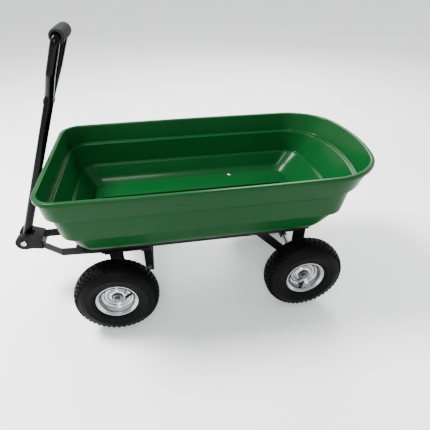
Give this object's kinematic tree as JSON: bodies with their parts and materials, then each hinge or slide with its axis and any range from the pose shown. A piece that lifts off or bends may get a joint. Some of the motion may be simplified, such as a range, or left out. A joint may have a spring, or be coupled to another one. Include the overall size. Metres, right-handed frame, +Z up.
{
  "type": "tipping garden cart",
  "caption": "Four-wheel tipping garden cart with a moulded tray on a steel frame, steered front axle, hinged pull handle with a loop grip, and pneumatic tyres.",
  "frame": {"origin": "on the ground, under the middle of the whole cart with its handle stood up", "axes": "-X forward to the drawbar, +X to the end the tray tips over, +Y to the cart's right, +Z up"},
  "size_m": [1.14, 0.53, 0.8536],
  "materials": {
    "tray_plastic": "semi-gloss moulded polyethylene",
    "frame_paint": "dark satin powder coat",
    "handle_paint": "gloss black paint",
    "yoke_plastic": "matte",
    "bright_zinc": "bright plated",
    "zinc_steel": "dull zinc plated",
    "spring_steel": "oiled spring steel",
    "rim_steel": "bright silver finish",
    "tyre_rubber": "moulded tread, smooth sidewalls",
    "tube_rubber": "soft",
    "pad_rubber": "matte",
    "bearing_plastic": "nylon",
    "grip_foam": "closed-cell foam"
  },
  "bodies": {
    "chassis": {"main_beam": "frame_paint", "axle_lug": "frame_paint", "beam_cap": "pad_rubber", "rear_axle": "zinc_steel", "front_bolster": "frame_paint", "hoop_cross_bar": "frame_paint", "rest_bars": "frame_paint", "rest_pads": "pad_rubber", "steering_hoop": "frame_paint", "hoop_bolts": "zinc_steel", "king_plate": "frame_paint", "kingpin": "zinc_steel", "kingpin_nut": "zinc_steel", "nose_bracket": "frame_paint", "catch_clip": "spring_steel", "rear_axle_washers": "zinc_steel", "rear_axle_cotters": "zinc_steel"},
    "tray_body": {"tray": "tray_plastic", "tray_bolts": "bright_zinc", "tray_nuts": "zinc_steel", "front_cross_angle": "frame_paint", "rear_cross_bar": "frame_paint", "catch_striker": "frame_paint", "tray_rail_left": "frame_paint", "tray_rail_right": "frame_paint", "rear_post_left": "frame_paint", "rear_post_right": "frame_paint", "rear_brace_left": "frame_paint", "rear_brace_right": "frame_paint", "pivot_bushes": "bearing_plastic"},
    "steering": {"axle_bracket": "frame_paint", "thrust_washer": "bearing_plastic", "front_axle": "zinc_steel", "front_axle_washers": "zinc_steel", "front_axle_cotters": "zinc_steel", "fork_arm_left": "frame_paint", "fork_arm_right": "frame_paint", "handle_yoke": "yoke_plastic", "pivot_bolt": "bright_zinc", "pivot_nut": "zinc_steel"},
    "handle": {"handle_tube": "handle_paint", "handle_loop": "handle_paint", "handle_grip": "grip_foam"},
    "front_left_wheel": {"front_left_tyre": "tyre_rubber", "front_left_rim": "rim_steel", "front_left_bearings": "bearing_plastic", "front_left_tube": "tube_rubber"},
    "front_right_wheel": {"front_right_tyre": "tyre_rubber", "front_right_rim": "rim_steel", "front_right_bearings": "bearing_plastic", "front_right_tube": "tube_rubber"},
    "rear_left_wheel": {"rear_left_tyre": "tyre_rubber", "rear_left_rim": "rim_steel", "rear_left_bearings": "bearing_plastic", "rear_left_tube": "tube_rubber"},
    "rear_right_wheel": {"rear_right_tyre": "tyre_rubber", "rear_right_rim": "rim_steel", "rear_right_bearings": "bearing_plastic", "rear_right_tube": "tube_rubber"}
  },
  "joints": [
    {"name": "tray_tilt", "type": "hinge", "parent": "chassis", "child": "tray_body", "pos_m": [0.35, 0, 0.13], "axis": [0, 1, 0], "range_deg": [0, 75]},
    {"name": "steering_turn", "type": "hinge", "parent": "chassis", "child": "steering", "pos_m": [-0.25, 0, 0.209], "axis": [0, 0, 1], "range_deg": [-14, 14]},
    {"name": "handle_pivot", "type": "hinge", "parent": "steering", "child": "handle", "pos_m": [-0.544, 0, 0.226], "axis": [0, -1, 0], "range_deg": [0, 125]},
    {"name": "front_left_spin", "type": "hinge", "parent": "steering", "child": "front_left_wheel", "pos_m": [-0.25, -0.218, 0.13], "axis": [0, 1, 0], "continuous": true},
    {"name": "front_right_spin", "type": "hinge", "parent": "steering", "child": "front_right_wheel", "pos_m": [-0.25, 0.218, 0.13], "axis": [0, 1, 0], "continuous": true},
    {"name": "rear_left_spin", "type": "hinge", "parent": "chassis", "child": "rear_left_wheel", "pos_m": [0.35, -0.218, 0.13], "axis": [0, 1, 0], "continuous": true},
    {"name": "rear_right_spin", "type": "hinge", "parent": "chassis", "child": "rear_right_wheel", "pos_m": [0.35, 0.218, 0.13], "axis": [0, 1, 0], "continuous": true}
  ]
}
